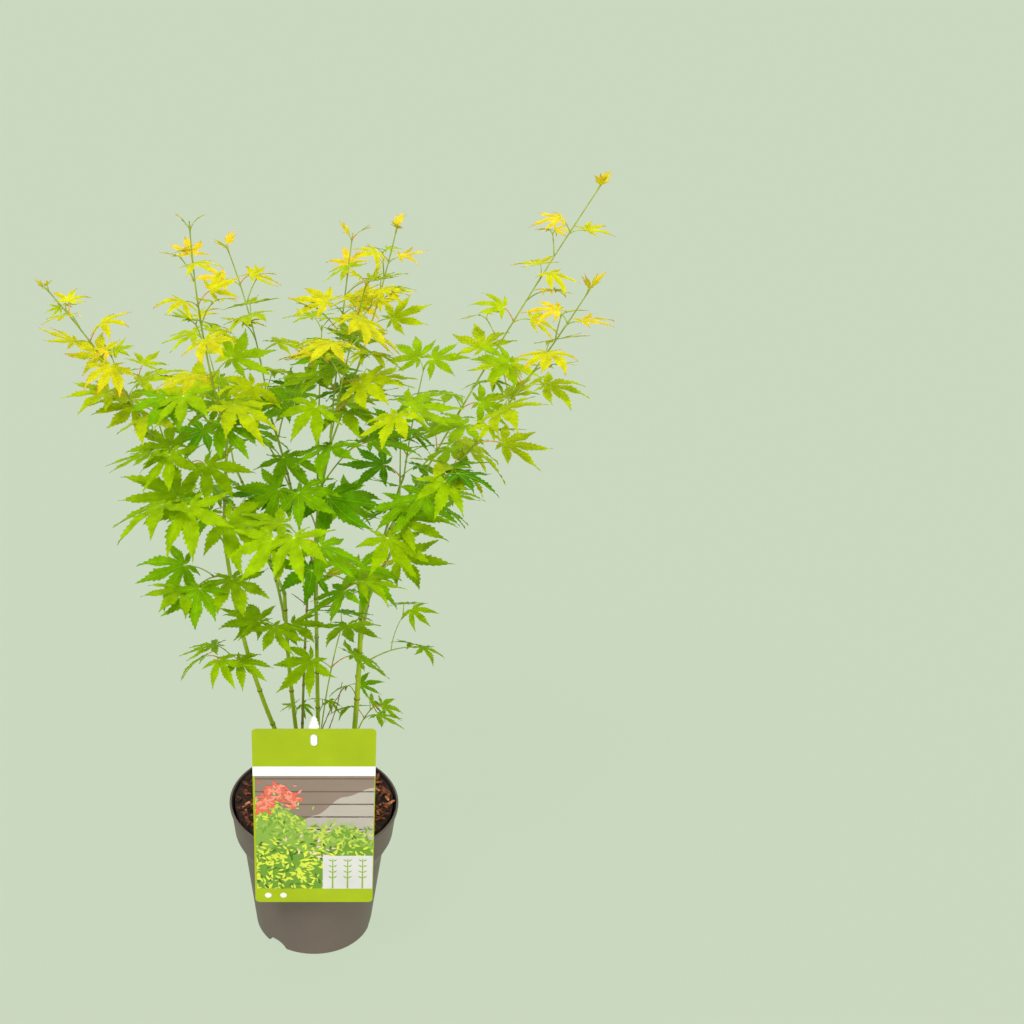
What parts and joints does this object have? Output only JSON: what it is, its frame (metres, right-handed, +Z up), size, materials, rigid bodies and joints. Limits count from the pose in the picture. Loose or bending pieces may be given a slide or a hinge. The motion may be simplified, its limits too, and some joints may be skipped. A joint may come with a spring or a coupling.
{
  "type": "potted japanese maple",
  "caption": "Young Japanese maple in a round nursery pot: slender green canes, boughs and masses of lobed leaves, with an unlettered label card on a holder.",
  "frame": {"origin": "middle of the flat underside of the pot", "axes": "+Z up along the plant, -Y towards the side that carries the label card"},
  "size_m": [0.5707, 0.4963, 0.874],
  "materials": {
    "pot": "satin moulded taupe plastic",
    "potting_mix": "damp composted bark",
    "card": "printed laminated card",
    "holder": "white moulded plastic",
    "cane": "smooth green bark",
    "bough": "smooth olive bark with reddish nodes",
    "leaf_deep": "soft matt leaf, mid green",
    "leaf_green": "soft matt leaf, fresh green",
    "leaf_lime": "soft matt leaf, lime",
    "leaf_yellow": "soft matt leaf, yellow with orange edges"
  },
  "bodies": {
    "root": {"pot": "pot", "potting_mix": "potting_mix", "label_card": "card", "label_holder": "holder", "cane_centre": "cane", "cane_left": "cane", "cane_mid_left": "cane", "cane_right": "cane", "cane_slim_left": "cane", "bough_back": "bough", "bough_back_left": "bough", "bough_back_right": "bough", "bough_centre": "bough", "bough_far_left": "bough", "bough_front": "bough", "bough_left_upright": "bough", "bough_mid_left": "bough", "bough_right_back": "bough", "bough_right_front": "bough", "foliage_back_left_low": "leaf_deep", "foliage_back_left_top": "leaf_green", "foliage_back_low": "leaf_deep", "foliage_back_right_low": "leaf_deep", "foliage_back_right_top": "leaf_green", "foliage_back_top": "leaf_green", "foliage_centre_back_top": "leaf_green", "foliage_centre_front_top": "leaf_lime", "foliage_centre_left": "leaf_green", "foliage_centre_low": "leaf_deep", "foliage_centre_right": "leaf_green", "foliage_centre_top": "leaf_yellow", "foliage_far_left": "leaf_lime", "foliage_front_bright": "leaf_lime", "foliage_front_right": "leaf_deep", "foliage_inner_back": "leaf_green", "foliage_left_behind": "leaf_deep", "foliage_left_crest": "leaf_green", "foliage_left_foot": "leaf_deep", "foliage_left_front": "leaf_lime", "foliage_left_low": "leaf_deep", "foliage_left_spray": "leaf_green", "foliage_left_top": "leaf_yellow", "foliage_mid_left_low": "leaf_deep", "foliage_mid_left_top": "leaf_yellow", "foliage_middle": "leaf_green", "foliage_right_back_top": "leaf_lime", "foliage_right_foot": "leaf_deep", "foliage_right_front_top": "leaf_lime", "foliage_right_inner": "leaf_green", "foliage_right_low": "leaf_deep", "foliage_right_mid": "leaf_green", "foliage_right_outlier": "leaf_deep"}
  },
  "joints": []
}
